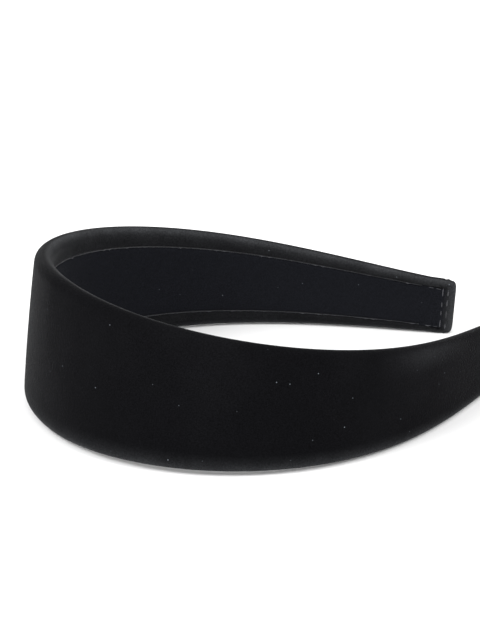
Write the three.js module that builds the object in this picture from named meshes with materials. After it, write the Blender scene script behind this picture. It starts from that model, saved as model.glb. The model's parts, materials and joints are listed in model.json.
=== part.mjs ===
// A wide padded velvet headband, lying on its long edge as it would on a table.
//
// It is a springy plastic strip bent round the head, with a foam pad on its outer side and a
// velvet sleeve over both. The sleeve is an outer cover that wraps the long edges and a lining
// on the head's side, joined by two long seams, and each end is closed by a stitched hem.
//
// Units are millimetres. In the finished frame +Z is up, +X runs from the crown to the tips
// along the line of symmetry, +Y runs across the head to the left arm, and the origin is under
// the middle of the object. The pieces are built in the band's own frame, where the middle of
// the plastic sleeve's thickness at the crown is the origin, and are then tilted to rest.

import * as THREE from 'three';

// Plan of the band: the line that the middle of its thickness follows, seen from above
const BAND_DEPTH = 144.1; // crown to tips
const BAND_SPAN = 119.3; // across the widest place, a little behind the ears
const WIDEST_AT = 59.8; // crown to the widest place
const TIP_GAP = 36.1; // between the middles of the two tips
const TIP_TOE_IN = THREE.MathUtils.degToRad(32.8); // the arms' angle to the symmetry line at the tips
const CROWN_FULLNESS = 0.569; // handle lengths of the plan's curves, as shares of their spans
const SIDE_FULLNESS = 0.565;
const ARM_FULLNESS = 0.433;
const TIP_FULLNESS = 0.306;

// Breadth of the band, from one long edge to the other, and how it tapers along an arm
const CROWN_BREADTH = 47.8;
const TIP_BREADTH = 17.9;
const TAPER_START = 1.44; // higher keeps the crown's breadth for longer
const TAPER_END = 1.3; // higher eases more gently into the tip's breadth

// Lean of the band's faces from upright: the crown leans out a little, the tips lean in
const CROWN_LEAN = THREE.MathUtils.degToRad(-2.4);
const TIP_LEAN = THREE.MathUtils.degToRad(11.5);

// Layers, from the head outwards
const LINING_THICKNESS = 0.6;
const TAPE_THICKNESS = 0.1;
const CORE_CROWN_THICKNESS = 1.4;
const CORE_TIP_THICKNESS = 1.0;
const PAD_CROWN_THICKNESS = 2.6;
const PAD_TIP_THICKNESS = 0.5;
const COVER_THICKNESS = 0.6;
const PAD_CROWNING = 0.3; // how far the padded face bulges at its middle
const LAYER_GAP = 0.06; // between two layers that touch
const CORE_SIDE_GAP = 0.3; // between the core's long edges and the pad's lips
const CORE_EDGE_BREAK = 0.35; // the core's long edges are broken so that they don't cut the pad
const TAPE_INSET = 1.2; // the tapes stop short of the core's long edges

// Long seams, on the head's side
const CROWN_SEAM_MARGIN = 5.8; // flat turn-in of the cover, from the rounded edge to the seam
const TIP_SEAM_MARGIN = 0.4;
const SEAM_THREAD = 0.32; // thread diameter
const SEAM_SIDE_GAP = 0.09; // between the thread and the cloth on each side of it

// Hems that close the sleeve's ends
const HEM_LENGTH = 10.5;
const HEM_WALL = 0.4;
const HEM_MOUTH_WALL = 0.2; // the hem's edge is pressed thin
const HEM_MOUTH_LENGTH = 0.8;
const HEM_END = 2; // beyond the end of the core
const HEM_STEP = 1.7; // from the tip to the step where the turned-in layers stop
const HEM_NOSE = [ // rounded nose: distance from the tip, and how far inside the band's skin
	[ 1.6, 0.05 ],
	[ 0.9, 0.1 ],
	[ 0.35, 0.45 ],
	[ 0, 1.0 ],
];

// Rows of lockstitches through each hem
const STITCH_THREAD = 0.32; // thread diameter
const STITCH_LENGTH = 3;
const STITCH_LIFT = 0.14; // how far a stitch's middle stands above its ends
const STITCH_CLEARANCE = 0.05; // between the thread and the hem
const ROWS = { front: 4.2, end: 2.7 }; // row name to its distance from the tip

// Fineness of the solids
const STATIONS = 41; // lengths of the band, an odd number so that one is centred on the crown
const FACE_CELLS = 5; // across a face, an odd number for the same reason
const EDGE_CELLS = 4; // round a long edge
const THREAD_SIDES = 6;
const STEPS_PER_STITCH = 2;

const { lerp } = THREE.MathUtils;

// ---------------------------------------------------------------- plan and stations

function armCurves( side ) {

	const halfSpan = side * BAND_SPAN / 2;
	const arm = BAND_DEPTH - WIDEST_AT;
	const crown = new THREE.Vector2( 0, 0 );
	const widest = new THREE.Vector2( WIDEST_AT, halfSpan );
	const tip = new THREE.Vector2( BAND_DEPTH, side * TIP_GAP / 2 );
	const inwards = new THREE.Vector2( Math.cos( TIP_TOE_IN ), - side * Math.sin( TIP_TOE_IN ) );
	const front = new THREE.CubicBezierCurve(
		crown,
		new THREE.Vector2( 0, halfSpan * CROWN_FULLNESS ),
		new THREE.Vector2( WIDEST_AT * ( 1 - SIDE_FULLNESS ), halfSpan ),
		widest,
	);
	const back = new THREE.CubicBezierCurve(
		widest,
		new THREE.Vector2( WIDEST_AT + arm * ARM_FULLNESS, halfSpan ),
		tip.clone().addScaledVector( inwards, - arm * TIP_FULLNESS ),
		tip,
	);
	return [ front, back ];

}

const armPath = new THREE.CurvePath();
armCurves( 1 ).forEach( ( curve ) => armPath.add( curve ) );
const ARM_LENGTH = armPath.getLength();
const SLEEVE_LENGTH = ARM_LENGTH - HEM_END; // crown to the end of the core, pad, cover and lining

// The band's frame at a distance s from the crown, which is negative along the right arm
function stationAt( s ) {

	const side = s < 0 ? - 1 : 1;
	const along = Math.abs( s ) / ARM_LENGTH;
	const point = armPath.getPoint( along );
	const tangent = armPath.getTangent( along );
	const origin = new THREE.Vector3( point.x, side * point.y, 0 );
	const level = new THREE.Vector3( - tangent.y, side * tangent.x, 0 );
	const lean = lerp( CROWN_LEAN, TIP_LEAN, along );
	const out = level.clone().multiplyScalar( Math.cos( lean ) );
	out.z = Math.sin( lean );
	const up = level.clone().multiplyScalar( - Math.sin( lean ) );
	up.z = Math.cos( lean );

	const taper = ( 1 - along ** TAPER_START ) ** TAPER_END;
	const breadth = lerp( TIP_BREADTH, CROWN_BREADTH, taper );
	const core = lerp( CORE_CROWN_THICKNESS, CORE_TIP_THICKNESS, along );
	const pad = lerp( PAD_CROWN_THICKNESS, PAD_TIP_THICKNESS, along );
	const tapes = 2 * TAPE_THICKNESS;
	const gaps = 5 * LAYER_GAP;
	const thickness = LINING_THICKNESS + core + pad + tapes + gaps + COVER_THICKNESS;
	const flat = ( breadth - thickness ) / 2; // half of the breadth between the rounded edges
	const margin = lerp( CROWN_SEAM_MARGIN, TIP_SEAM_MARGIN, along );

	// Where each layer lies, measured outwards from the middle of the thickness
	const inner = - thickness / 2;
	const liningTape = inner + LINING_THICKNESS + LAYER_GAP;
	const coreInner = liningTape + TAPE_THICKNESS + LAYER_GAP;
	const padTape = coreInner + core + LAYER_GAP;
	const padInner = padTape + TAPE_THICKNESS + LAYER_GAP;

	return { origin, out, up, flat, inner, core, liningTape, coreInner, padTape, padInner,
		radius: thickness / 2,
		crowning: PAD_CROWNING * pad / PAD_CROWN_THICKNESS,
		seam: flat - margin,
		place: ( [ w, n ] ) => origin.clone().addScaledVector( up, w ).addScaledVector( out, n ) };

}

const cell = 2 * SLEEVE_LENGTH / STATIONS;
const stations = Array.from( { length: STATIONS + 1 }, ( _, i ) => stationAt( i * cell - SLEEVE_LENGTH ) );

// ---------------------------------------------------------------- sections
// A section is a list of [ w, n ]: w up the band's breadth and n outwards through its thickness.

const steps = ( count ) => Array.from( { length: count + 1 }, ( _, i ) => i / count );

// A straight run across the band at the height n, from one w to another
const run = ( from, to, n ) => steps( FACE_CELLS ).map( ( t ) => [ lerp( from, to, t ), n ] );

// The padded outer face, lower edge to upper, at a height above the band's skin
function paddedFace( at, lift ) {

	return steps( FACE_CELLS ).map( ( t ) => {

		const across = 2 * t - 1;
		const bulge = at.crowning * ( 1 - across * across );
		return [ across * at.flat, at.radius + lift + bulge ];

	} );

}

// A rounded long edge, from the outer face to the inner one, at a height above the band's skin
function roundEdge( at, side, lift ) {

	return steps( EDGE_CELLS ).map( ( t ) => {

		const angle = Math.PI * ( 0.5 - t );
		const reach = at.radius + lift;
		return [ side * ( at.flat + reach * Math.cos( angle ) ), reach * Math.sin( angle ) ];

	} );

}

// The whole outline of the band, outer face first, at a height above its skin
function skin( at, lift ) {

	const upper = roundEdge( at, 1, lift ).slice( 1, - 1 );
	const lower = roundEdge( at, - 1, lift ).slice( 1, - 1 ).reverse();
	const innerFace = run( at.flat, - at.flat, - at.radius - lift );
	return [ ...paddedFace( at, lift ), ...upper, ...innerFace, ...lower ];

}

// The open outline from seam to seam, round both long edges
function wrap( at, lift ) {

	const lower = roundEdge( at, - 1, lift ).reverse();
	const upper = roundEdge( at, 1, lift );
	const height = - at.radius - lift;
	return [
		[ - at.seam, height ],
		...lower,
		...paddedFace( at, lift ).slice( 1, - 1 ),
		...upper,
		[ at.seam, height ],
	];

}

const slab = ( half, bottom, top ) => [ ...run( - half, half, top ), ...run( half, - half, bottom ) ];

const sections = {

	cover: ( at ) => [ ...wrap( at, 0 ), ...wrap( at, - COVER_THICKNESS ).reverse() ],

	// The pad lies on the core's outer face, and its lips fill the cover's rounded edges
	pad: ( at ) => [
		...wrap( at, - COVER_THICKNESS - LAYER_GAP ).slice( 1, - 1 ),
		...run( at.flat, - at.flat, at.padInner ),
	],

	padTape: ( at ) => slab( at.flat - TAPE_INSET, at.padTape, at.padTape + TAPE_THICKNESS ),

	core: ( at ) => {

		const half = at.flat - CORE_SIDE_GAP;
		const level = half - CORE_EDGE_BREAK;
		const top = at.coreInner + at.core;
		return [
			[ - half, top - CORE_EDGE_BREAK ],
			...run( - level, level, top ),
			[ half, top - CORE_EDGE_BREAK ],
			[ half, at.coreInner + CORE_EDGE_BREAK ],
			...run( level, - level, at.coreInner ),
			[ - half, at.coreInner + CORE_EDGE_BREAK ],
		];

	},

	liningTape: ( at ) => {

		const half = Math.min( at.flat, liningHalf( at ) ) - TAPE_INSET;
		return slab( half, at.liningTape, at.liningTape + TAPE_THICKNESS );

	},

	lining: ( at ) => slab( liningHalf( at ), at.inner, at.inner + LINING_THICKNESS ),

};

// The lining stops short of the cover's turned-in edge by the slot that holds the seam's thread
function liningHalf( at ) {

	return at.seam - SEAM_THREAD - 2 * SEAM_SIDE_GAP;

}

function seamSection( at, side ) {

	const middle = side * ( at.seam - SEAM_SIDE_GAP - SEAM_THREAD / 2 );
	const height = at.inner + SEAM_THREAD;
	return steps( THREAD_SIDES ).slice( 1 ).map( ( t ) => {

		const angle = - 2 * Math.PI * t;
		const reach = SEAM_THREAD / 2;
		return [ middle + reach * Math.cos( angle ), height + reach * Math.sin( angle ) ];

	} );

}

// ---------------------------------------------------------------- solids

// A closed solid through a row of rings of points. The rings follow each other towards the left
// arm, and each goes up the band's outer face and down its inner face.
function loft( rings, outline ) {

	const count = outline.length;
	const index = [];
	for ( let k = 0; k < rings.length - 1; k ++ ) {

		for ( let j = 0; j < count; j ++ ) {

			const next = ( j + 1 ) % count;
			const [ a, b ] = [ k * count + j, k * count + next ];
			index.push( a, b, b + count, a, b + count, a + count );

		}

	}

	const flatOutline = outline.map( ( [ w, n ] ) => new THREE.Vector2( w, n ) );
	const last = ( rings.length - 1 ) * count;
	for ( const [ a, b, c ] of THREE.ShapeUtils.triangulateShape( flatOutline, [] ) ) {

		index.push( a, b, c, last + c, last + b, last + a );

	}

	const geometry = new THREE.BufferGeometry().setFromPoints( rings.flat() );
	geometry.setIndex( index );
	geometry.computeVertexNormals();
	return geometry;

}

// A layer of the band, from one end of the sleeve to the other
function layer( section ) {

	return loft( stations.map( ( at ) => section( at ).map( at.place ) ), section( stations[ 0 ] ) );

}

// The band's outline, raised by a lift, at a distance s from the crown. It follows the same
// facets as the layers, so what is built on it fits them exactly.
function skinRing( s, lift ) {

	const position = ( s + SLEEVE_LENGTH ) / cell;
	const i = THREE.MathUtils.clamp( Math.floor( position ), 0, STATIONS - 1 );
	const from = skin( stations[ i ], lift ).map( stations[ i ].place );
	const to = skin( stations[ i + 1 ], lift ).map( stations[ i + 1 ].place );
	return from.map( ( point, j ) => point.lerp( to[ j ], position - i ) );

}

// The hem is a pocket over the end of the band: its rings run down the outside from the nose to
// the mouth, and then up the inside to the cavity's end.
function hem( side ) {

	const body = LAYER_GAP + HEM_WALL;
	const outside = [
		...HEM_NOSE.map( ( [ back, depth ] ) => [ back, - depth ] ).reverse(),
		[ HEM_STEP, body ],
		[ HEM_LENGTH - HEM_MOUTH_LENGTH, body ],
		[ HEM_LENGTH, LAYER_GAP + HEM_MOUTH_WALL ],
	];
	const inside = [
		[ HEM_LENGTH, LAYER_GAP ],
		[ HEM_END - LAYER_GAP, LAYER_GAP ],
	];
	const rings = [ ...outside, ...inside ].map( ( [ back, lift ] ) => skinRing( side * ( ARM_LENGTH - back ), lift ) );
	if ( side > 0 ) rings.reverse();
	return loft( rings, skin( stations[ 0 ], 0 ) );

}

// A row of stitches across a hem: one thread that rises in the middle of each stitch and comes
// down to the cloth at each needle hole
function stitchRow( side, back, face ) {

	const lift = LAYER_GAP + HEM_WALL + STITCH_CLEARANCE + STITCH_THREAD / 2;
	const s = side * ( ARM_LENGTH - back );
	const start = face === 'outer' ? 0 : FACE_CELLS + EDGE_CELLS;
	const lowest = skinRing( s, lift ).slice( start, start + FACE_CELLS + 1 );
	const highest = skinRing( s, lift + STITCH_LIFT ).slice( start, start + FACE_CELLS + 1 );
	const low = new THREE.CatmullRomCurve3( lowest );
	const high = new THREE.CatmullRomCurve3( highest );
	const stitches = Math.max( 1, Math.round( low.getLength() / STITCH_LENGTH ) );
	const points = steps( stitches * STEPS_PER_STITCH ).map( ( t, i ) => {

		const curve = i % STEPS_PER_STITCH === 0 ? low : high;
		return curve.getPoint( t );

	} );
	const round = new THREE.Shape();
	round.absarc( 0, 0, STITCH_THREAD / 2, 0, 2 * Math.PI );
	return new THREE.ExtrudeGeometry( round, {
		curveSegments: THREAD_SIDES / 2,
		steps: points.length - 1,
		extrudePath: new THREE.CatmullRomCurve3( points ),
	} );

}

// ---------------------------------------------------------------- materials

const finish = ( color, roughness ) => new THREE.MeshStandardMaterial( { color, roughness, metalness: 0 } );

const finishes = {
	velvet: () => finish( 0x131315, 0.95 ),
	lining: () => finish( 0x15161b, 0.95 ),
	thread: () => finish( 0x3a3a40, 0.7 ),
	plastic: () => finish( 0x1d1d1f, 0.4 ),
	foam: () => finish( 0x2c2c2e, 0.9 ),
	tape: () => finish( 0xc9c4b2, 0.5 ),
};

// ---------------------------------------------------------------- assembly

const band = new THREE.Group();

function add( name, geometry, material ) {

	const mesh = new THREE.Mesh( geometry, finishes[ material ]() );
	mesh.name = name;
	band.add( mesh );

}

add( 'band_core', layer( sections.core ), 'plastic' );
add( 'pad_tape', layer( sections.padTape ), 'tape' );
add( 'foam_pad', layer( sections.pad ), 'foam' );
add( 'velvet_cover', layer( sections.cover ), 'velvet' );
add( 'lining_tape', layer( sections.liningTape ), 'tape' );
add( 'lining', layer( sections.lining ), 'lining' );
add( 'upper_seam_thread', layer( ( at ) => seamSection( at, 1 ) ), 'thread' );
add( 'lower_seam_thread', layer( ( at ) => seamSection( at, - 1 ) ), 'thread' );

for ( const [ arm, side ] of [ [ 'left', 1 ], [ 'right', - 1 ] ] ) {

	add( `${ arm }_end_hem`, hem( side ), 'velvet' );
	for ( const [ row, back ] of Object.entries( ROWS ) ) {

		add( `${ arm }_${ row }_row_needle_thread`, stitchRow( side, back, 'outer' ), 'thread' );
		add( `${ arm }_${ row }_row_bobbin_thread`, stitchRow( side, back, 'inner' ), 'thread' );

	}

}

// ---------------------------------------------------------------- resting place

// The band lies on the crown's lower edge and the tips' lower corners. In side view that is the
// edge of its lower outline that spans the middle of its length.
function restingSlope() {

	const corners = [];
	for ( const mesh of band.children ) {

		const position = mesh.geometry.getAttribute( 'position' );
		for ( let i = 0; i < position.count; i ++ ) {

			corners.push( new THREE.Vector2( position.getX( i ), position.getZ( i ) ) );

		}

	}

	const middle = BAND_DEPTH / 2;
	const front = corners.filter( ( corner ) => corner.x < middle );
	const back = corners.filter( ( corner ) => corner.x >= middle );
	const slope = ( a, b ) => ( b.y - a.y ) / ( b.x - a.x );
	let foot = front[ 0 ];
	let toe = back[ 0 ];
	for ( let pass = 0; pass < 4; pass ++ ) {

		foot = front.reduce( ( best, corner ) => ( slope( corner, toe ) > slope( best, toe ) ? corner : best ) );
		toe = back.reduce( ( best, corner ) => ( slope( foot, corner ) < slope( foot, best ) ? corner : best ) );

	}

	return slope( foot, toe );

}

const headband = new THREE.Group();
headband.name = 'headband';
headband.add( band );
band.rotation.y = Math.atan( restingSlope() );
headband.updateMatrixWorld( true );
const box = new THREE.Box3().setFromObject( headband, true );
const middle = box.getCenter( new THREE.Vector3() );
band.position.set( - middle.x, - middle.y, - box.min.z );

export default headband;
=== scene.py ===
"""A wide padded velvet headband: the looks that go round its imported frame.

The file is laid out as an add-on. The headband's sizes and colours are properties, each piece or
group of like pieces is made by an operator, and a panel lists them. Lengths are in metres, in the
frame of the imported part: +X from the crown to the tips, +Y to the left arm, +Z up.
"""

import json
import math
from functools import lru_cache

import bmesh
import bpy
from mathutils import Matrix, Quaternion, Vector, geometry, noise

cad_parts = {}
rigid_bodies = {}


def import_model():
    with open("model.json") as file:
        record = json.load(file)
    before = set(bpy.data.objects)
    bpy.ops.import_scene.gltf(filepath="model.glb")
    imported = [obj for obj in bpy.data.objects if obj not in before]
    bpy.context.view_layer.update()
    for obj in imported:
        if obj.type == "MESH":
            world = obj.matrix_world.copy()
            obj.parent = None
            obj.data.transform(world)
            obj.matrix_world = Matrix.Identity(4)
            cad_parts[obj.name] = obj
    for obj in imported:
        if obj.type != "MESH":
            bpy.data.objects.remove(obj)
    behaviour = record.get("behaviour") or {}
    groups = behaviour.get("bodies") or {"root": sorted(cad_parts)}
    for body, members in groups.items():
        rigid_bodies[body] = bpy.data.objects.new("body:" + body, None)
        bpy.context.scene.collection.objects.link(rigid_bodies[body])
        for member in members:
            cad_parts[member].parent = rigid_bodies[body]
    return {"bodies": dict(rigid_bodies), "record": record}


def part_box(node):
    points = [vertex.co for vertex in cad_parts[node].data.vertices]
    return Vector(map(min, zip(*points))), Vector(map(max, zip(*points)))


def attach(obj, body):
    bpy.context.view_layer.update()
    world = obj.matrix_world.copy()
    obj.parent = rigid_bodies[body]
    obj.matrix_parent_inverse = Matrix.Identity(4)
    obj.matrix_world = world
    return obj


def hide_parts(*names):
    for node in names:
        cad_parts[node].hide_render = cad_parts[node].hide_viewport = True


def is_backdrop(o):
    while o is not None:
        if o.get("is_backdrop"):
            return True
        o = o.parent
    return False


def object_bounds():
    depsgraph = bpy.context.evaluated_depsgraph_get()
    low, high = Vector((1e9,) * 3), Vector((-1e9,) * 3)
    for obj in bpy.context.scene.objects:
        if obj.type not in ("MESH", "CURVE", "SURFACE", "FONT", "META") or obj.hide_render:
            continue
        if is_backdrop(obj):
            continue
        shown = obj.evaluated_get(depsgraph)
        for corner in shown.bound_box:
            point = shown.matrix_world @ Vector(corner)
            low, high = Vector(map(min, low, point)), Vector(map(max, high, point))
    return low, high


bl_info = {
    "name": "Velvet Headband",
    "version": (1, 0, 0),
    "blender": (4, 5, 0),
    "location": "3D View > Sidebar > Headband",
    "description": "Makes a padded velvet headband with its seams, hems and stitches",
    "category": "Object",
}

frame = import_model()
CAD_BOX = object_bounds()
BODY = next(iter(frame["bodies"]))
MM = 0.001


def linear(hex_colour):
    """An sRGB colour such as "#141416" as the linear RGBA that a shader reads."""
    channels = [int(hex_colour[i : i + 2], 16) / 255 for i in (1, 3, 5)]
    curved = [c / 12.92 if c <= 0.04045 else ((c + 0.055) / 1.055) ** 2.4 for c in channels]
    return (*curved, 1.0)


# ------------------------------------------------------------------ properties


def length(name, description, millimetres, **options):
    return bpy.props.FloatProperty(
        name=name,
        description=description,
        default=millimetres * MM,
        unit="LENGTH",
        subtype="DISTANCE",
        precision=5,
        **options,
    )


def angle(name, description, degrees):
    return bpy.props.FloatProperty(
        name=name,
        description=description,
        default=math.radians(degrees),
        unit="ROTATION",
        subtype="ANGLE",
    )


def share(name, description, value, low=0.0, high=1.0):
    return bpy.props.FloatProperty(
        name=name,
        description=description,
        default=value,
        min=low,
        max=high,
        subtype="FACTOR",
    )


def colour(name, description, hex_colour):
    return bpy.props.FloatVectorProperty(
        name=name,
        description=description,
        default=linear(hex_colour),
        size=4,
        min=0,
        max=1,
        subtype="COLOR",
    )


class HeadbandSizes(bpy.types.PropertyGroup):
    """The band's plan, breadth and layers."""

    depth: length("Depth", "Crown to tips, along the line of symmetry", 144.1)
    span: length("Span", "Across the widest place", 119.3)
    widest_at: length("Widest at", "Crown to the widest place", 59.8)
    tip_gap: length("Tip gap", "Between the middles of the two tips", 36.1)
    toe_in: angle("Toe-in", "The arms' angle to the line of symmetry at the tips", 32.8)
    crown_fullness: share("Crown fullness", "How squarely the plan turns at the crown", 0.569)
    side_fullness: share("Side fullness", "How squarely the plan turns at the sides", 0.565)
    arm_fullness: share("Arm fullness", "How long the arms keep their width", 0.433)
    tip_fullness: share("Tip fullness", "How long the tips keep their toe-in", 0.306)
    crown_breadth: length("Crown breadth", "Long edge to long edge at the crown", 47.8)
    tip_breadth: length("Tip breadth", "Long edge to long edge at the tips", 17.9)
    taper_start: share("Taper start", "Higher keeps the crown's breadth for longer", 1.44, 1, 3)
    taper_end: share("Taper end", "Higher eases more gently into the tips", 1.3, 1, 3)
    crown_lean: angle("Crown lean", "Lean of the band's face at the crown", -2.4)
    tip_lean: angle("Tip lean", "Lean of the band's face at the tips", 11.5)
    cloth: length("Cloth", "Thickness of the velvet and of its lining", 0.6)
    tape: length("Tape", "Thickness of the adhesive tapes", 0.1)
    gap: length("Layer gap", "Between two layers that touch", 0.06)
    core_crown: length("Core at crown", "Thickness of the plastic core at the crown", 1.4)
    core_tip: length("Core at tips", "Thickness of the plastic core at the tips", 1.0)
    pad_crown: length("Pad at crown", "Thickness of the foam pad at the crown", 2.6)
    pad_tip: length("Pad at tips", "Thickness of the foam pad at the tips", 0.5)
    pad_crowning: length("Pad crowning", "How far the padded face bulges at its middle", 0.3)
    crown_margin: length("Crown seam margin", "Rounded edge to the long seam at the crown", 5.8)
    tip_margin: length("Tip seam margin", "Rounded edge to the long seam at the tips", 0.4)
    seam_slot: length("Seam slot", "Between the cover's and the lining's turned edges", 0.2)
    seam_roll: length("Seam roll", "Radius of the cloth's turned edges at the seam", 0.55)
    hem_end: length("Hem end", "Length of the hem beyond the core", 2.0)
    hem_length: length("Hem length", "Length of the turned-in hem at each tip", 10.5)
    hem_wall: length("Hem wall", "Thickness of the pressed hem", 0.4)
    hem_step: length("Hem step", "Tip to the step where the turned-in layers stop", 1.7)
    front_row: length("Front row", "Tip to the front row of stitches", 3.5)
    end_row: length("End row", "Tip to the end row of stitches", 1.9)
    thread: length("Thread", "Diameter of the sewing thread", 0.32)
    stitch: length("Stitch", "Length of a stitch across the hems", 3.6)
    seam_stitch: length("Seam stitch", "Length of a stitch along the long seams", 2.5)


class HeadbandColours(bpy.types.PropertyGroup):
    """The colours of the cloth, thread, core and pad."""

    velvet: colour("Velvet", "The pile seen end on", "#0a0a0c")
    velvet_brushed: colour("Brushed velvet", "The pile where it lies over", "#0e0e10")
    # Open pile and painted sheen: the long edges and the tips are painted this paler colour, partly as
    # pile that a bend opens and partly as painted sheen
    velvet_open_and_sheen: colour("Opened velvet and painted sheen", "The pile where a bend opens it", "#3b3c3e")
    lining: colour("Lining", "The lining's short pile", "#16171b")
    lint: colour("Lint", "Specks of lint caught in the pile", "#868c94")
    thread: colour("Thread", "Black polyester sewing thread", "#2b2c32")
    core: colour("Core", "Moulded plastic strip", "#1b1b1d")
    foam: colour("Foam", "Open-cell foam pad", "#333437")
    tape: colour("Tape", "Adhesive film", "#cfc9b6")
    floor: colour("Floor", "The surface that the band lies on", "#fbfbfb")


class HeadbandStage(bpy.types.PropertyGroup):
    """Camera, floor and lights."""

    azimuth: angle("Azimuth", "The camera's direction, from along +Y", -25.45)
    elevation: angle("Elevation", "The camera's height above the horizon", 20.94)
    roll: angle("Roll", "The camera's turn about its line of sight", -0.0985)
    distance: length("Distance", "Camera to the point it looks at", 1500)
    lens: bpy.props.FloatProperty(
        name="Lens",
        description="Focal length",
        default=278.1,
        unit="CAMERA",
        subtype="DISTANCE_CAMERA",
    )
    light_height: angle("Light height", "How high the side lights stand", 40)
    sky: bpy.props.FloatProperty(
        name="Sky",
        description="Strength of the light all round",
        default=0.97,
        min=0,
    )
    key: bpy.props.FloatProperty(
        name="Side lights",
        description="Power of the two large soft lights together",
        default=18.0,
        min=0,
        unit="POWER",
    )


# ------------------------------------------------------------------ the band's shape


def mix(a, b, t):
    """From a at t = 0 to b at t = 1."""
    return a + (b - a) * t


def smooth(t):
    """From 0 to 1 as t does, with a level start and end, and no further."""
    t = min(max(t, 0.0), 1.0)
    return t * t * (3 - 2 * t)


class Band:
    """Where things are on the band: s runs along it from the crown, and is negative on the right arm.

    Across a section, w runs up the band's breadth and n outwards through its thickness. Outlines
    run round a section with t, and a lift raises them above the band's skin.
    """

    PATH_STEPS = 200
    REST_STEPS = 40
    # The outline's t: each flat face takes the first share, and each rounded edge the second
    FACE = 0.36
    EDGE = 0.14
    # The wrap's t: from a seam to the edge's bend, and then round the bend
    WRAP_MARGIN = 0.125
    WRAP_EDGE = 0.1875

    def __init__(self, sizes):
        self.sizes = sizes
        self.points = self.arm_line()
        self.reach = [0.0]
        for a, b in zip(self.points, self.points[1:]):
            self.reach.append(self.reach[-1] + (b - a).length)
        self.arm = self.reach[-1]
        self.sleeve = self.arm - sizes.hem_end
        self.at = lru_cache(maxsize=None)(self.station)
        # The resting place is worked out from places on the band before it lies down
        self.rest = Matrix.Identity(4)
        self.rest = self.resting_place()

    def arm_line(self):
        """The left arm's middle line, from the crown to the tip."""
        z = self.sizes
        half = z.span / 2
        arm = z.depth - z.widest_at
        tip = Vector((z.depth, z.tip_gap / 2, 0))
        inwards = Vector((math.cos(z.toe_in), -math.sin(z.toe_in), 0))
        widest = Vector((z.widest_at, half, 0))
        front = geometry.interpolate_bezier(
            Vector((0, 0, 0)),
            Vector((0, half * z.crown_fullness, 0)),
            Vector((z.widest_at * (1 - z.side_fullness), half, 0)),
            widest,
            self.PATH_STEPS,
        )
        back = geometry.interpolate_bezier(
            widest,
            Vector((z.widest_at + arm * z.arm_fullness, half, 0)),
            tip - inwards * arm * z.tip_fullness,
            tip,
            self.PATH_STEPS,
        )
        return front + back[1:]

    def on_line(self, distance):
        """The point and the direction of the left arm's line at a distance from the crown."""
        low, high = 0, len(self.reach) - 2
        while low < high:
            middle = (low + high + 1) // 2
            if self.reach[middle] <= distance:
                low = middle
            else:
                high = middle - 1
        a, b = self.points[low], self.points[low + 1]
        t = (distance - self.reach[low]) / (self.reach[low + 1] - self.reach[low])
        before = self.points[low - 1] if low else Vector((b.x, -b.y, 0))
        after = self.points[low + 2] if low + 2 < len(self.points) else b + (b - a)
        heading = (b - before).normalized().lerp((after - a).normalized(), t)
        return a.lerp(b, t), heading.normalized()

    def station(self, s):
        """The section at s: its middle, its directions, and the heights and widths of its layers."""
        z = self.sizes
        side = -1 if s < 0 else 1
        along = min(abs(s) / self.arm, 1.0)
        point, heading = self.on_line(abs(s))
        level = Vector((-heading.y, side * heading.x, 0))
        lean = mix(z.crown_lean, z.tip_lean, along)
        core = mix(z.core_crown, z.core_tip, along)
        pad = mix(z.pad_crown, z.pad_tip, along)
        thickness = 2 * z.cloth + core + pad + 2 * z.tape + 5 * z.gap
        taper = (1 - along**z.taper_start) ** z.taper_end
        breadth = mix(z.tip_breadth, z.crown_breadth, taper)
        flat = (breadth - thickness) / 2
        core_inner = -thickness / 2 + z.cloth + z.tape + 2 * z.gap
        return {
            "origin": Vector((point.x, side * point.y, 0)),
            "out": level * math.cos(lean) + Vector((0, 0, math.sin(lean))),
            "up": level * -math.sin(lean) + Vector((0, 0, math.cos(lean))),
            "radius": thickness / 2,
            "flat": flat,
            "crowning": z.pad_crowning * pad / z.pad_crown,
            "seam": flat - mix(z.crown_margin, z.tip_margin, along),
            "core": core,
            "core_inner": core_inner,
            "pad_inner": core_inner + core + z.tape + 2 * z.gap,
        }

    def place(self, s, w, n):
        """A point of the section at s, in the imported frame."""
        at = self.at(s)
        return self.rest @ (at["origin"] + at["up"] * w + at["out"] * n)

    def resting_place(self):
        """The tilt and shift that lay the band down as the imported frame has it.

        The tilt is read from the flat face in the middle of the lining, and the shift from the
        box of the cover.
        """
        mount = next(m for m in frame["record"]["mounts"] if m["name"] == "head_side_of_crown")
        face = self.at(0)["out"]
        tilt = math.asin(-mount["axis"][2]) - math.asin(face.z)
        turn = Matrix.Rotation(tilt, 4, "Y")
        round_steps = self.REST_STEPS // 2
        skin = []
        for i in range(-self.REST_STEPS, self.REST_STEPS + 1):
            s = i / self.REST_STEPS * self.sleeve
            for j in range(round_steps):
                skin.append(turn @ self.place(s, *self.outline(self.at(s), j / round_steps, 0)))
        low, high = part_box("velvet_cover")
        middle_x = (min(p.x for p in skin) + max(p.x for p in skin)) / 2
        shift = Vector(((low.x + high.x) / 2 - middle_x, 0, low.z - min(p.z for p in skin)))
        return Matrix.Translation(shift) @ turn

    def back_of(self, side, point):
        """How far back from an arm's tip a point lies, along that end of the arm."""
        tip = self.place(side * self.arm, 0, 0)
        behind = self.place(side * (self.arm - self.sizes.hem_length), 0, 0)
        return (point - tip).dot((behind - tip).normalized())

    def face_point(self, at, across, lift):
        """On the outer face, across from -1 at its lower side to 1 at its upper one."""
        bulge = at["crowning"] * (1 - across * across)
        return across * at["flat"], at["radius"] + lift + bulge

    def edge_point(self, at, side, turn, lift):
        """On a rounded edge, turned from 0 on the outer face to pi on the inner one."""
        reach = at["radius"] + lift
        return side * (at["flat"] + reach * math.sin(turn)), reach * math.cos(turn)

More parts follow.
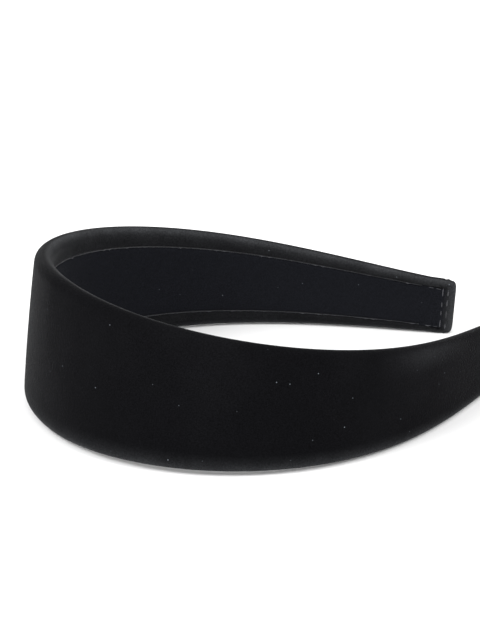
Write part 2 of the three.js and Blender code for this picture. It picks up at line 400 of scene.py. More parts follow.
    def outline(self, at, t, lift):
        """The whole section: up the outer face, round the upper edge, down the inner face, and back."""
        t %= 1.0
        if t < self.FACE:
            return self.face_point(at, 2 * t / self.FACE - 1, lift)
        t -= self.FACE
        if t < self.EDGE:
            return self.edge_point(at, 1, math.pi * t / self.EDGE, lift)
        t -= self.EDGE
        if t < self.FACE:
            return at["flat"] * (1 - 2 * t / self.FACE), -at["radius"] - lift
        t -= self.FACE
        return self.edge_point(at, -1, math.pi * (1 - t / self.EDGE), lift)

    def turn(self, t):
        """1 on the outline's outer face, 0 on its head side, and between them round its edges."""
        t %= 1.0
        if t < self.FACE:
            return 1.0
        if t < self.FACE + self.EDGE:
            return 1 - (t - self.FACE) / self.EDGE
        return max(0.0, 1 - (1 - t) / self.EDGE)

    def wrap(self, at, t, lift):
        """From the lower seam, over the outer face, to the upper seam."""
        side = -1 if t < 0.5 else 1
        back = t if t < 0.5 else 1 - t
        if back < self.WRAP_MARGIN:
            return side * mix(at["seam"], at["flat"], back / self.WRAP_MARGIN), -at["radius"] - lift
        back -= self.WRAP_MARGIN
        if back < self.WRAP_EDGE:
            return self.edge_point(at, side, math.pi * (1 - back / self.WRAP_EDGE), lift)
        face = 1 - 2 * (self.WRAP_MARGIN + self.WRAP_EDGE)
        across = 2 * (t - self.WRAP_MARGIN - self.WRAP_EDGE) / face - 1
        return self.face_point(at, across, lift)


def edge_opening_and_sheen(turn, upper):
    """How far a long edge's bend opens the pile: turn is 0 on the head's side and 1 on the outer face.

    The pile lies down the outer face, so it opens on the head's side of the upper edge and on
    the outer side of the lower one, where these sides are seen at a glancing angle; the paler
    colour there is partly that open pile and partly painted sheen. Below 0, turn falls to -1 at
    the seam, across a flat margin.
    """
    # Open pile and painted sheen: how pale each part of a long edge is painted
    upper_seam, upper_margin, upper_bend = 0.19, 0.07, 0.5
    lower_margin, lower_bend = 0.14, 0.56
    if turn < 0:
        return upper_seam + upper_margin * (1 + turn) ** 3 if upper else lower_margin
    if upper:
        rise = upper_seam + upper_margin + upper_bend * smooth((turn - 0.04) / 0.36)
        return rise * smooth((0.5 - turn) / 0.12)
    return (lower_margin + lower_bend * smooth(turn / 0.3)) * smooth((1.2 - turn) / 0.6)


# ------------------------------------------------------------------ mesh making


def wrapped_grid(around, along, place, closed=False, capped=True, paints=None):
    """A flat grid, wrapped by place(t, u): t from 0 to 1 round the section, u from -1 to 1 along it.

    A closed section is joined to itself, and its ends are filled if it is capped. Each of the
    paints is a function of t and u that is kept as a number at each point, for the material.
    """
    bm = bmesh.new()
    bmesh.ops.create_grid(bm, x_segments=around, y_segments=along, size=1)
    for name, value in (paints or {}).items():
        layer = bm.verts.layers.float.new(name)
        for vert in bm.verts:
            vert[layer] = value((vert.co.x + 1) / 2, vert.co.y)
    for vert in bm.verts:
        vert.co = place((vert.co.x + 1) / 2, vert.co.y)
    if closed:
        bmesh.ops.remove_doubles(bm, verts=bm.verts, dist=1e-6)
        if capped:
            rims = [edge for edge in bm.edges if edge.is_boundary]
            bmesh.ops.holes_fill(bm, edges=rims, sides=0)
        bmesh.ops.recalc_face_normals(bm, faces=bm.faces)
    return bm


def finished(name, bm, material, stands_for):
    """A bmesh as a piece of the headband that stands for a CAD node."""
    mesh = bpy.data.meshes.new(name)
    bm.to_mesh(mesh)
    bm.free()
    mesh.shade_smooth()
    piece = bpy.data.objects.new(name, mesh)
    bpy.context.scene.collection.objects.link(piece)
    mesh.materials.append(material)
    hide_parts(stands_for)
    return piece


def thickened(piece, thickness, fullness, thinnest=0.35):
    """Gives a sheet of cloth its thickness inwards, and a finer surface.

    fullness(vert) is 1 where the cloth has its whole thickness and 0 where it has the thinnest share.
    """
    group = piece.vertex_groups.new(name="thickness")
    for vert in piece.data.vertices:
        group.add([vert.index], fullness(vert), "REPLACE")
    modifier = piece.modifiers.new("Cloth thickness", "SOLIDIFY")
    modifier.thickness = thickness
    modifier.offset = -1
    modifier.vertex_group = group.name
    modifier.thickness_vertex_group = thinnest
    modifier = piece.modifiers.new("Fine surface", "SUBSURF")
    modifier.levels = 1
    modifier.render_levels = 1


# ------------------------------------------------------------------ materials


def node(tree, kind, inputs=None, **settings):
    """Adds a node with its settings, its input values and its links."""
    made = tree.nodes.new(kind)
    for name, value in settings.items():
        setattr(made, name, value)
    for name, value in (inputs or {}).items():
        socket = made.inputs[name]
        if isinstance(value, bpy.types.NodeSocket):
            tree.links.new(value, socket)
        else:
            socket.default_value = value
    return made


def new_material(name, **surface):
    """A material with these values on its shader's sockets, its node tree, and the shader."""
    material = bpy.data.materials.new(name)
    material.use_nodes = True
    shader = material.node_tree.nodes["Principled BSDF"]
    for socket, value in surface.items():
        shader.inputs[socket.replace("_", " ")].default_value = value
    return material, material.node_tree, shader


def textured(tree, shader, colour, pattern, low, high, relief=None, strength=0.0, depth=0.0):
    """Colours the surface, with a pattern that darkens the colour to low and brightens it to high.

    A relief, which may be the same pattern, raises the surface by up to the depth.
    """
    tone = node(tree, "ShaderNodeMapRange", {"Value": pattern, "To Min": low, "To Max": high})
    shade = node(
        tree,
        "ShaderNodeVectorMath",
        {0: tuple(colour)[:3], "Scale": tone.outputs["Result"]},
        operation="SCALE",
    )
    tree.links.new(shade.outputs["Vector"], shader.inputs["Base Color"])
    if relief:
        bump = node(
            tree,
            "ShaderNodeBump",
            {"Height": relief, "Strength": strength, "Distance": depth},
        )
        tree.links.new(bump.outputs["Normal"], shader.inputs["Normal"])


LINT_SPACING = 4.2 * MM
LINT_SIZE = 0.26 * MM
TUFT_HEIGHT = 0.22 * MM


@lru_cache(maxsize=None)
def pile_velvet(name, pile, other_pile, open_pile_and_sheen, sheen, tuft, patch=None):
    """Woven pile velvet, cut and brushed, whose colours are named as the panel's colours are.

    Fibres that stand on end swallow light seen end on, so the face is almost black, and catch it
    on their sides at a glancing angle, which the sheen gives as a soft pale rim. Where a painted
    number says, along the long edges, at the tips and in a patch of the face, the colour turns
    paler, partly as the sides of pile that a bend opens and partly as painted sheen, and specks
    of lint sit in the pile. The other pile's colour shows in brushed patches of the size given,
    or without one, on the painted head's side.
    """
    colours = bpy.context.scene.headband_colours
    material, tree, shader = new_material(
        name,
        Roughness=0.9,
        IOR=1.46,
        Specular_IOR_Level=0.04,
        Sheen_Weight=sheen,
        Sheen_Roughness=0.25,
        Sheen_Tint=(0.97, 0.98, 1.0, 1),
    )
    place = node(tree, "ShaderNodeTexCoord").outputs["Object"]
    if patch:
        brushing = node(
            tree,
            "ShaderNodeTexNoise",
            {"Vector": place, "Scale": 1 / patch, "Detail": 3.0},
        )
        low, high = 0.4, 0.75
    else:
        brushing = node(tree, "ShaderNodeAttribute", attribute_name="head_side")
        low, high = 0.0, 1.0
    other = node(
        tree,
        "ShaderNodeMapRange",
        {"Value": brushing.outputs["Fac"], "From Min": low, "From Max": high},
        interpolation_type="SMOOTHSTEP",
    )
    tufts = node(tree, "ShaderNodeTexNoise", {"Vector": place, "Scale": 1 / tuft, "Detail": 2.0})
    brushed = node(
        tree,
        "ShaderNodeMix",
        {
            "Factor": other.outputs["Result"],
            "A": tuple(getattr(colours, pile)),
            "B": tuple(getattr(colours, other_pile)),
        },
        data_type="RGBA",
    )
    # Open pile and painted sheen: the number painted at each point pales the colour along the long
    # edges, at the tips and in a patch of the face
    bend = node(tree, "ShaderNodeAttribute", attribute_name="open_pile_and_sheen")
    opened_and_sheen = node(
        tree,
        "ShaderNodeMix",
        {
            "Factor": bend.outputs["Fac"],
            "A": brushed.outputs["Result"],
            "B": tuple(getattr(colours, open_pile_and_sheen)),
        },
        data_type="RGBA",
    )
    speckle = node(
        tree,
        "ShaderNodeMapRange",
        {
            "Value": tufts.outputs["Fac"],
            "From Min": 0.3,
            "From Max": 0.7,
            "To Min": 0.65,
            "To Max": 1.35,
        },
    )
    shaded = node(
        tree,
        "ShaderNodeVectorMath",
        {0: opened_and_sheen.outputs["Result"], "Scale": speckle.outputs["Result"]},
        operation="SCALE",
    )
    cells = node(tree, "ShaderNodeTexVoronoi", {"Vector": place, "Scale": 1 / LINT_SPACING})
    speck = node(
        tree,
        "ShaderNodeMapRange",
        {
            "Value": cells.outputs["Distance"],
            "From Min": LINT_SIZE / LINT_SPACING,
            "From Max": 0.0,
        },
        interpolation_type="SMOOTHSTEP",
    )
    # Each cell's own colour makes its speck fainter or stronger
    uneven = node(tree, "ShaderNodeSeparateColor", {"Color": cells.outputs["Color"]})
    faded = node(
        tree,
        "ShaderNodeMath",
        {0: speck.outputs["Result"], 1: uneven.outputs["Red"]},
        operation="MULTIPLY",
    )
    dusted = node(
        tree,
        "ShaderNodeMix",
        {
            "Factor": faded.outputs["Value"],
            "A": shaded.outputs["Vector"],
            "B": tuple(colours.lint),
        },
        data_type="RGBA",
    )
    tree.links.new(dusted.outputs["Result"], shader.inputs["Base Color"])
    bump = node(
        tree,
        "ShaderNodeBump",
        {"Height": tufts.outputs["Fac"], "Strength": 1.0, "Distance": TUFT_HEIGHT},
    )
    tree.links.new(bump.outputs["Normal"], shader.inputs["Normal"])
    return material


def velvet():
    """Black dress velvet: its brushed patches are about 28 mm across, and its tufts are drawn at
    0.45 mm, coarser than the real weave so that they show."""
    return pile_velvet(
        "Black pile velvet",
        "velvet",
        "velvet_brushed",
        "velvet_open_and_sheen",
        sheen=0.1,
        tuft=0.45 * MM,
        patch=28 * MM,
    )


def pressed_velvet():
    """The same velvet at the pressed hems: as blue as the lining on the head's side."""
    return pile_velvet(
        "Pressed pile velvet",
        "velvet",
        "lining",
        "velvet_open_and_sheen",
        sheen=0.1,
        tuft=0.45 * MM,
    )


def lining_velvet():
    """Short-pile lining velvet: bluer and more even than the cover, with tufts drawn at 0.35 mm."""
    return pile_velvet(
        "Short pile lining",
        "lining",
        "lining",
        "lining",
        sheen=0.05,
        tuft=0.35 * MM,
    )


@lru_cache(maxsize=None)
def spun_thread():
    """Spun polyester thread: flecks 0.3 mm long stand for its fibres, which catch a thin light."""
    material, tree, shader = new_material(
        "Spun polyester thread",
        Roughness=0.6,
        IOR=1.54,
        Sheen_Weight=0.4,
        Sheen_Roughness=0.4,
    )
    colour = bpy.context.scene.headband_colours.thread
    place = node(tree, "ShaderNodeTexCoord").outputs["Object"]
    scale = 1 / (0.3 * MM)
    fibre = node(tree, "ShaderNodeTexNoise", {"Vector": place, "Scale": scale, "Detail": 2.0})
    flecks = fibre.outputs["Fac"]
    textured(tree, shader, colour, flecks, 0.45, 1.7, flecks, 0.5, 0.05 * MM)
    return material


@lru_cache(maxsize=None)
def moulded_plastic():
    """Injection-moulded ABS: a satin face, with flow marks 6 mm long and the mould's 0.4 mm grain."""
    material, tree, shader = new_material("Moulded ABS", IOR=1.53)
    colour = bpy.context.scene.headband_colours.core
    place = node(tree, "ShaderNodeTexCoord").outputs["Object"]
    scale = 1 / (6 * MM)
    flow = node(tree, "ShaderNodeTexNoise", {"Vector": place, "Scale": scale, "Detail": 4.0})
    marks = flow.outputs["Fac"]
    gloss = node(tree, "ShaderNodeMapRange", {"Value": marks, "To Min": 0.36, "To Max": 0.5})
    tree.links.new(gloss.outputs["Result"], shader.inputs["Roughness"])
    grain = node(tree, "ShaderNodeTexNoise", {"Vector": place, "Scale": 1 / (0.4 * MM)})
    textured(tree, shader, colour, marks, 0.85, 1.15, grain.outputs["Fac"], 0.15, 0.02 * MM)
    return material


@lru_cache(maxsize=None)
def open_cell_foam():
    """Open-cell polyurethane foam, sliced: a matt face full of pores about 0.5 mm across."""
    material, tree, shader = new_material(
        "Open cell foam",
        Roughness=0.95,
        IOR=1.5,
        Specular_IOR_Level=0.2,
    )
    colour = bpy.context.scene.headband_colours.foam
    place = node(tree, "ShaderNodeTexCoord").outputs["Object"]
    cells = node(tree, "ShaderNodeTexVoronoi", {"Vector": place, "Scale": 1 / (0.5 * MM)})
    pores = cells.outputs["Distance"]
    # Painted shade: the pores are painted darker towards their middles, where the same pattern sinks
    # them into hollows
    textured(tree, shader, colour, pores, 0.5, 1.3, pores, 0.8, 0.2 * MM)
    return material


@lru_cache(maxsize=None)
def adhesive_film():
    """Double-sided adhesive film: a tacky cream skin, with ripples about 4 mm apart."""
    material, tree, shader = new_material(
        "Adhesive film",
        Roughness=0.35,
        IOR=1.47,
        Subsurface_Weight=0.1,
    )
    colour = bpy.context.scene.headband_colours.tape
    place = node(tree, "ShaderNodeTexCoord").outputs["Object"]
    scale = 1 / (4 * MM)
    skin = node(tree, "ShaderNodeTexNoise", {"Vector": place, "Scale": scale, "Detail": 3.0})
    ripples = skin.outputs["Fac"]
    textured(tree, shader, colour, ripples, 0.85, 1.1, ripples, 0.3, 0.1 * MM)
    return material


@lru_cache(maxsize=None)
def matt_floor():
    """Matt white card, with a tone that barely varies, over patches 125 mm across."""
    material, tree, shader = new_material("White card", Roughness=0.9, Specular_IOR_Level=0.1)
    colour = bpy.context.scene.headband_colours.floor
    place = node(tree, "ShaderNodeTexCoord").outputs["Object"]
    cloud = node(tree, "ShaderNodeTexNoise", {"Vector": place, "Scale": 1 / (125 * MM)})
    textured(tree, shader, colour, cloud.outputs["Fac"], 0.985, 1.0)
    return material


# ------------------------------------------------------------------ pieces


def band_of(context):
    return Band(context.scene.headband_sizes)


class HEADBAND_OT_core(bpy.types.Operator):
    """Make the springy plastic strip that the band is built on"""

    bl_idname = "headband.core"
    bl_label = "Plastic Core"

    AROUND = 40
    ALONG = 160
    # Between the strip's long edges and the pad's lips
    SIDE_GAP = 0.3 * MM
    EDGE_RADIUS = 0.45 * MM

    def execute(self, context):
        band = band_of(context)

        def place(t, u):
            s = u * band.sleeve
            at = band.at(s)
            half = at["flat"] - self.SIDE_GAP
            w, n = rounded_bar(t, half, at["core_inner"], at["core"], self.EDGE_RADIUS)
            return band.place(s, w, n)

        bm = wrapped_grid(self.AROUND, self.ALONG, place, closed=True)
        piece = finished("core_strip", bm, moulded_plastic(), "band_core")
        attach(piece, BODY)
        return {"FINISHED"}


def rounded_bar(t, half, bottom, thickness, radius):
    """A point round a flat bar's section whose long edges are rounded: up its top, down its bottom."""
    radius = min(radius, thickness / 2)
    flat = half - radius
    side = 1 if t % 1.0 < 0.5 else -1
    t = t % 0.5
    if t < Band.FACE:
        w = side * flat * (2 * t / Band.FACE - 1)
        return w, (bottom + thickness if side > 0 else bottom)
    turn = math.pi * (t - Band.FACE) / Band.EDGE
    straight = thickness / 2 - radius
    lift = math.cos(turn)
    middle = bottom + thickness / 2
    w = side * (flat + radius * math.sin(turn))
    return w, middle + side * (radius * lift + math.copysign(straight, lift))


class HEADBAND_OT_tapes(bpy.types.Operator):
    """Make the adhesive films on both faces of the core"""

    bl_idname = "headband.tapes"
    bl_label = "Adhesive Tapes"

    AROUND = 28
    ALONG = 130
    # The films stop short of the core's long edges and of the seams
    INSET = 1.4 * MM

    def execute(self, context):
        band = band_of(context)
        sizes = band.sizes
        layers = {
            "pad_tape": lambda at: (at["flat"], at["core_inner"] + at["core"] + sizes.gap),
            "lining_tape": lambda at: (at["seam"], at["core_inner"] - sizes.gap - sizes.tape),
        }
        for name, layer in layers.items():

            def place(t, u, layer=layer):
                s = u * band.sleeve
                half, bottom = layer(band.at(s))
                w, n = rounded_bar(t, half - self.INSET, bottom, sizes.tape, sizes.tape / 2)
                return band.place(s, w, n)

            bm = wrapped_grid(self.AROUND, self.ALONG, place, closed=True)
            piece = finished(name.replace("tape", "adhesive"), bm, adhesive_film(), name)
            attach(piece, BODY)
        return {"FINISHED"}


class HEADBAND_OT_pad(bpy.types.Operator):
    """Make the foam pad, whose lips roll over the core's long edges"""

    bl_idname = "headband.pad"
    bl_label = "Foam Pad"

    AROUND = 75
    ALONG = 160
    # The pad's t: its outer skin takes the first share, and each lip's straight side the second
    SKIN = 0.64
    LIP = 0.04
    # How uneven the skin is, over humps 2.5 mm long
    UNEVEN = 0.05 * MM
    HUMPS_PER_METRE = 400

    def execute(self, context):
        band = band_of(context)
        sizes = band.sizes
        skin, lip = self.SKIN, self.LIP

        def place(t, u):
            s = u * band.sleeve
            at = band.at(s)
            depth = sizes.cloth + sizes.gap
            if t <= skin:
                # Only the stretch of the wrap between the two margins
                inner = mix(band.WRAP_MARGIN, 1 - band.WRAP_MARGIN, t / skin)
                w, n = band.wrap(at, inner, -depth)
                n += self.UNEVEN * (noise.noise(Vector((w, s, 0)) * self.HUMPS_PER_METRE) - 1)
                return band.place(s, w, n)
            back = min(t - skin, 1 - t) / lip
            side = 1 if t < (1 + skin) / 2 else -1
            if back < 1:
                # The lip's straight side, beside the core's long edge
                n = mix(depth - at["radius"], at["pad_inner"], back)
                return band.place(s, side * at["flat"], n)
            across = (t - skin - lip) / (1 - skin - 2 * lip)
            return band.place(s, at["flat"] * (1 - 2 * across), at["pad_inner"])

        bm = wrapped_grid(self.AROUND, self.ALONG, place, closed=True)
        piece = finished("padding", bm, open_cell_foam(), "foam_pad")
        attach(piece, BODY)
        return {"FINISHED"}


# How far the pile stands above the CAD's skin
PILE_LIFT = 0.22 * MM
# How far the pile stands past the CAD's tips
NOSE_PILE = 0.4 * MM
# How deep the cloth's turned edges roll down into a seam
SEAM_DEPTH = 0.3 * MM
# Steps along the sleeve in which the flat area of a sheet is added up
AREA_STEPS = 80


def turned_edge(sizes, inside):
    """How deep a turned edge lies in its seam, at a distance inside that edge."""
    fall = max(0.0, 1 - inside / sizes.seam_roll)
    return SEAM_DEPTH * (1 - math.sqrt(max(0.0, 1 - fall * fall)))


def swell(piece, pressure, frames, most):
    """Lets cloth pressure round a padded face out, with no point moving further than most.

    The cloth is a firm one, so that it swells evenly.
    """
    before = [vert.co.copy() for vert in piece.data.vertices]
    modifier = piece.modifiers.new("Padding", "CLOTH")
    settings = modifier.settings
    settings.use_pressure = True
    settings.uniform_pressure_force = pressure
    settings.effector_weights.gravity = 0
    settings.vertex_group_mass = "pinned"
    settings.quality = 5
    settings.mass = 0.3
    settings.tension_stiffness = 40
    settings.compression_stiffness = 40
    settings.shear_stiffness = 20
    settings.bending_stiffness = 2
    modifier.collision_settings.use_collision = False
    modifier.point_cache.frame_start = 1
    modifier.point_cache.frame_end = frames
    scene = bpy.context.scene
    for number in range(1, frames + 1):
        scene.frame_set(number)
    evaluated = piece.evaluated_get(bpy.context.evaluated_depsgraph_get())
    after = [vert.co.copy() for vert in evaluated.data.vertices]
    piece.modifiers.remove(modifier)
    scene.frame_set(1)
    for vert, old, new in zip(piece.data.vertices, before, after):
        move = new - old
        if move.length > most:
            move *= most / move.length
        vert.co = old + move
    piece.data.update()


class HEADBAND_OT_cover(bpy.types.Operator):
    """Make the outer velvet, which wraps both long edges as far as the seams"""

    bl_idname = "headband.cover"
    bl_label = "Velvet Cover"

    ALONG = 190
    AROUND = 64
    # While the face swells, so many margins' width from each seam stays put
    PINNED_MARGINS = 1.9
    # and so do this many rows at each end
    PINNED_ROWS = 3
    # How pale the upper edge is painted at the crown and on the right arm, as a share of the left
    # arm's: painted sheen, fullest on the left arm, whose edge is seen at a glancing angle
    RIGHT_ARM_SHEEN_SHARE = 0.32
    # How pale a patch of the right arm's face is painted: painted sheen, where the face turns to a
    # glancing angle
    SHEEN_PATCH = 0.22
    # How much the opening varies from place to place
    VARIATION = 0.35

    def openness_and_sheen(self, band, t, u):
        """How pale the pile is painted, from 0 to 1, at t round the wrap and u along it: partly open
        pile, partly painted sheen.
        """
        back = min(t, 1 - t)
        if back < band.WRAP_MARGIN:
            turn = back / band.WRAP_MARGIN - 1
        else:
            turn = (back - band.WRAP_MARGIN) / band.WRAP_EDGE
        s = u * band.sleeve
        edge = edge_opening_and_sheen(turn, t > 0.5) * (1 - smooth((turn - 1.1) / 0.3))
        if t > 0.5 and turn > 0:
            # Painted sheen: the upper edge is painted paler on the left arm, whose head's side is seen
            # at a glancing angle, than at the crown and on the right arm
            edge *= mix(self.RIGHT_ARM_SHEEN_SHARE, 1.0, smooth((s - 10 * MM) / (45 * MM)))
        # The painted sheen patch: 110 to 165 mm from the crown, under the upper edge
        lengthwise = smooth((-s - 110 * MM) / (25 * MM)) * smooth((s + 165 * MM) / (30 * MM))
        across = smooth((t - 0.57) / 0.12) * smooth((turn - 0.6) / 0.4)
        coarse = noise.noise(Vector((s / (9 * MM), t * 6, 0)))
        fine = noise.noise(Vector((s / (2 * MM), t * 20, 5)))
        uneven = 1 + self.VARIATION * (coarse + 0.5 * fine)
        return max(0.0, (edge + self.SHEEN_PATCH * lengthwise * across) * uneven)

    def execute(self, context):
        band = band_of(context)
        sizes = band.sizes

        def place(t, u):
            s = u * band.sleeve
            at = band.at(s)
            back = min(t, 1 - t) / band.WRAP_MARGIN
            w, n = band.wrap(at, t, PILE_LIFT * smooth(back))
            if back < 1:
                # The turned edge rolls down into the seam
                edge = at["seam"] - sizes.thread / 2 + sizes.seam_slot / 2
                reach = mix(edge, at["flat"], back)
                w = math.copysign(reach, w)
                n += turned_edge(sizes, reach - edge)
            return band.place(s, w, n)

        paints = {"open_pile_and_sheen": lambda t, u: self.openness_and_sheen(band, t, u)}
        bm = wrapped_grid(self.AROUND, self.ALONG, place, paints=paints)
        piece = finished("sewn_cover", bm, velvet(), "velvet_cover")

        def margins_in(vert):
            """How many margins' width a point lies in from the nearer seam."""
            column = vert.index % (self.AROUND + 1)
            return min(column, self.AROUND - column) / self.AROUND / band.WRAP_MARGIN

        pin = piece.vertex_groups.new(name="pinned")
        for vert in piece.data.vertices:
            row = vert.index // (self.AROUND + 1)
            at_end = min(row, self.ALONG - row) < self.PINNED_ROWS
            held = at_end or margins_in(vert) < self.PINNED_MARGINS
            pin.add([vert.index], 1.0 if held else 0.0, "REPLACE")
        swell(piece, pressure=4.0, frames=14, most=0.4 * MM)
        thickened(piece, sizes.cloth, lambda vert: smooth(margins_in(vert) * 4 + 0.1))
        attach(piece, BODY)

        def contour(at):
            return 2 * (2 * at["flat"] + math.pi * at["radius"] - at["seam"])

        contour(band.at(0))
        unrolled_area(band, contour)
        return {"FINISHED"}


def unrolled_area(band, breadth):
    """The flat area of a sheet along the sleeve, from its breadth in each section."""
    middles = [(2 * (i + 0.5) / AREA_STEPS - 1) * band.sleeve for i in range(AREA_STEPS)]
    return sum(breadth(band.at(s)) for s in middles) * 2 * band.sleeve / AREA_STEPS


class HEADBAND_OT_lining(bpy.types.Operator):
    """Make the lining panel on the head's side"""

    bl_idname = "headband.lining"
    bl_label = "Lining"

    ALONG = 190
    AROUND = 28
    # Between the panel's edge and the seam's thread
    EDGE_GAP = 0.18 * MM
    # How uneven the panel is, over humps about 8 mm long
    UNEVEN = 0.05 * MM
    HUMPS_PER_METRE = 120

    def execute(self, context):
        band = band_of(context)
        sizes = band.sizes

        def half(at):
            return at["seam"] - sizes.thread / 2 - self.EDGE_GAP - sizes.seam_slot / 2

        def place(t, u):
            s = u * band.sleeve
            at = band.at(s)
            w = half(at) * (1 - 2 * t)
            n = -at["radius"] + turned_edge(sizes, half(at) - abs(w))
            n += self.UNEVEN * noise.noise(Vector((w, s, 0)) * self.HUMPS_PER_METRE)
            return band.place(s, w, n)

        def fullness(vert):
            column = vert.index % (self.AROUND + 1)
            back = min(column, self.AROUND - column) / self.AROUND
            return smooth(back * 12 + 0.1)

        bm = wrapped_grid(self.AROUND, self.ALONG, place)
        piece = finished("sewn_lining", bm, lining_velvet(), "lining")
        thickened(piece, sizes.cloth - 0.1 * MM, fullness)
        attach(piece, BODY)
        2 * half(band.at(0))
        unrolled_area(band, lambda at: 2 * half(at))
        return {"FINISHED"}


class HEADBAND_OT_seams(bpy.types.Operator):
    """Make the threads of the two long seams"""

    bl_idname = "headband.seams"
    bl_label = "Seam Threads"

    AROUND = 6
    STEPS_PER_STITCH = 8
    # How deep the thread sinks between stitches: over a hem's folds, and elsewhere
    SUNK_AT_HEM = 0.17 * MM
    SUNK = 0.4 * MM
    # How high a stitch rises, and how much higher a slack one bulges
    RISE = 0.2 * MM
    BULGE = 0.16 * MM
    # How far the thread lies inside the seam line
    INSET = 0.09 * MM

    def execute(self, context):
        band = band_of(context)
        sizes = band.sizes
        stitches = round(2 * band.sleeve / sizes.seam_stitch)
        for name, side in (("upper_seam_thread", 1), ("lower_seam_thread", -1)):

            def place(t, u, side=side):
                s = u * (band.arm - sizes.front_row)
                at = band.at(s)
                number, phase = divmod((u + 1) / 2 * stitches, 1.0)
                slack = noise.noise(Vector((number * 1.7, side * 5.0, 0.5)))
                rise = math.sin(math.pi * phase) * (0.6 + slack)
                # A few slack stitches bulge in the middle
                bulge = math.exp(-(((phase - 0.5) / 0.12) ** 2)) if slack > 0.28 else 0.0
                middle = side * (at["seam"] - self.INSET - sizes.thread / 2)
                radius = sizes.thread * mix(0.26, 0.36, rise) * (1 + 0.9 * bulge)
                turn = -2 * math.pi * t
                back = band.arm - abs(s)
                softness = smooth((back - sizes.hem_length + 3 * MM) / (3 * MM))
                height = mix(self.SUNK_AT_HEM, self.SUNK, softness) - at["radius"]
                height -= self.RISE * rise + self.BULGE * bulge
                if back < sizes.hem_length:
                    height -= max(0.0, hem_lift(sizes, back))
                w = middle + radius * math.cos(turn)
                return band.place(s, w, height + radius * math.sin(turn))

            bm = wrapped_grid(self.AROUND, stitches * self.STEPS_PER_STITCH, place, closed=True)
            piece = finished(name.replace("thread", "stitches"), bm, spun_thread(), name)
            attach(piece, BODY)
        return {"FINISHED"}


class HEADBAND_OT_hems(bpy.types.Operator):
    """Make the turned-in hem over each tip"""

    bl_idname = "headband.hems"
    bl_label = "Hems"

    AROUND = 100
    ALONG = 60
    # The wall's share of the CAD's, and the thinnest share of that, at the hem's mouth
    WALL_SHARE = 0.9
    MOUTH_SHARE = 0.15
    # How long the wall takes to thin towards the mouth
    FEATHER = 3.5 * MM
    # How far back from the tip the velvet is painted paler
    NOSE = 4.5 * MM

    def execute(self, context):
        band = band_of(context)
        sizes = band.sizes
        for arm, side in (("left", 1), ("right", -1)):

            def fullness(vert, side=side):
                return smooth((sizes.hem_length - band.back_of(side, vert.co)) / self.FEATHER)

            bm = self.pocket(band, side)
            name = f"{arm}_end_hem"
            piece = finished(f"{arm}_hem_pocket", bm, pressed_velvet(), name)
            thickened(piece, sizes.hem_wall * self.WALL_SHARE, fullness, self.MOUTH_SHARE)
            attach(piece, BODY)
            tip = band.at(band.arm)
        return {"FINISHED"}

    def pocket(self, band, side):
        """The hem's skin: open at its mouth, and closed over the tip."""
        sizes = band.sizes

        def back_at(u):
            """How far back from the tip a ring lies."""
            return sizes.hem_length * (0.5 - 0.5 * u)

        def round_section(t):
            return t if side > 0 else 1 - t

        def between_seams(t, u):
            """1 on the head's side between the two seams, and 0 outside them."""
            across = abs(1 - 2 * (round_section(t) - 0.5) / band.FACE)
            at = band.at(side * (band.arm - back_at(u)))
            return smooth((at["seam"] - across * at["flat"]) / (0.4 * MM) + 0.5)

        def head_side(t, u):
            """1 where the pile is as the lining's: between the seams, short of the nose."""
            return between_seams(t, u) * smooth((back_at(u) - 1.6 * MM) / (3.0 * MM))

        def open_pile_and_sheen(t, u):
            turn = band.turn(round_section(t))
            # The velvet is painted paler over the last few millimetres to the tip, less so on the outer
            # face
            nose = 0.75 * smooth(1 - back_at(u) / self.NOSE) * (1 - 0.75 * smooth(turn))
            if 0 < turn < 1:
                return max(nose, edge_opening_and_sheen(turn, round_section(t) % 1.0 < 0.5))
            return nose

        def place(t, u):
            back = back_at(u)
            s = side * (band.arm + NOSE_PILE - back)
            at = band.at(s)
            t = round_section(t)
            pile = PILE_LIFT * smooth(band.turn(t) / 0.3)
            w, n = band.outline(at, t, hem_lift(sizes, back) + pile)
            narrow = 0.1 * max(0.0, 1 - back / sizes.hem_step) ** 3
            return band.place(s, w * (1 - narrow), n)

        paints = {"open_pile_and_sheen": open_pile_and_sheen, "head_side": head_side}
        bm = wrapped_grid(self.AROUND, self.ALONG, place, closed=True, capped=False, paints=paints)
        # Only the rim at the tip is closed, which is the one further along x
        rims = [edge for edge in bm.edges if edge.is_boundary]
        reach = [edge.verts[0].co.x for edge in rims]
        halfway = (max(reach) + min(reach)) / 2
        tip = [edge for edge in rims if edge.verts[0].co.x > halfway]
        bmesh.ops.holes_fill(bm, edges=tip, sides=0)
        bmesh.ops.recalc_face_normals(bm, faces=bm.faces)
        return bm


# The hem's height above the band's skin, and how long it takes to ramp up from its mouth
HEM_HEIGHT = 0.26 * MM
HEM_RAMP = 8 * MM
# How far the mouth and the nose's step lie below that skin, and how far the nose then rounds off
MOUTH_DEPTH = 0.06 * MM
NOSE_DEPTH = 0.05 * MM
NOSE_FALL = 1.25 * MM
# How deep a row of stitches pulls the hem in
ROW_DEPTH = 0.2 * MM


def hem_lift(sizes, back):
    """How far the hem stands above the band's skin, at a distance back from the tip.

    It ramps up from its mouth, dips at each row of stitches, steps down where the turned-in
    layers stop, and rounds off to the tip.
    """
    if back < sizes.hem_step:
        inside = 1 - back / sizes.hem_step
        return -NOSE_DEPTH - NOSE_FALL * (1 - math.sqrt(max(0.0, 1 - inside**3)))
    dip = 0.0
    for row in (sizes.front_row, sizes.end_row):
        dip = max(dip, ROW_DEPTH * math.exp(-(((back - row) / (0.4 * MM)) ** 2)))
    ramp = mix(-MOUTH_DEPTH, HEM_HEIGHT, smooth((sizes.hem_length - back) / HEM_RAMP))
    step = smooth((back - sizes.hem_step) / (0.25 * MM))
    return mix(-NOSE_DEPTH, ramp - dip, step)


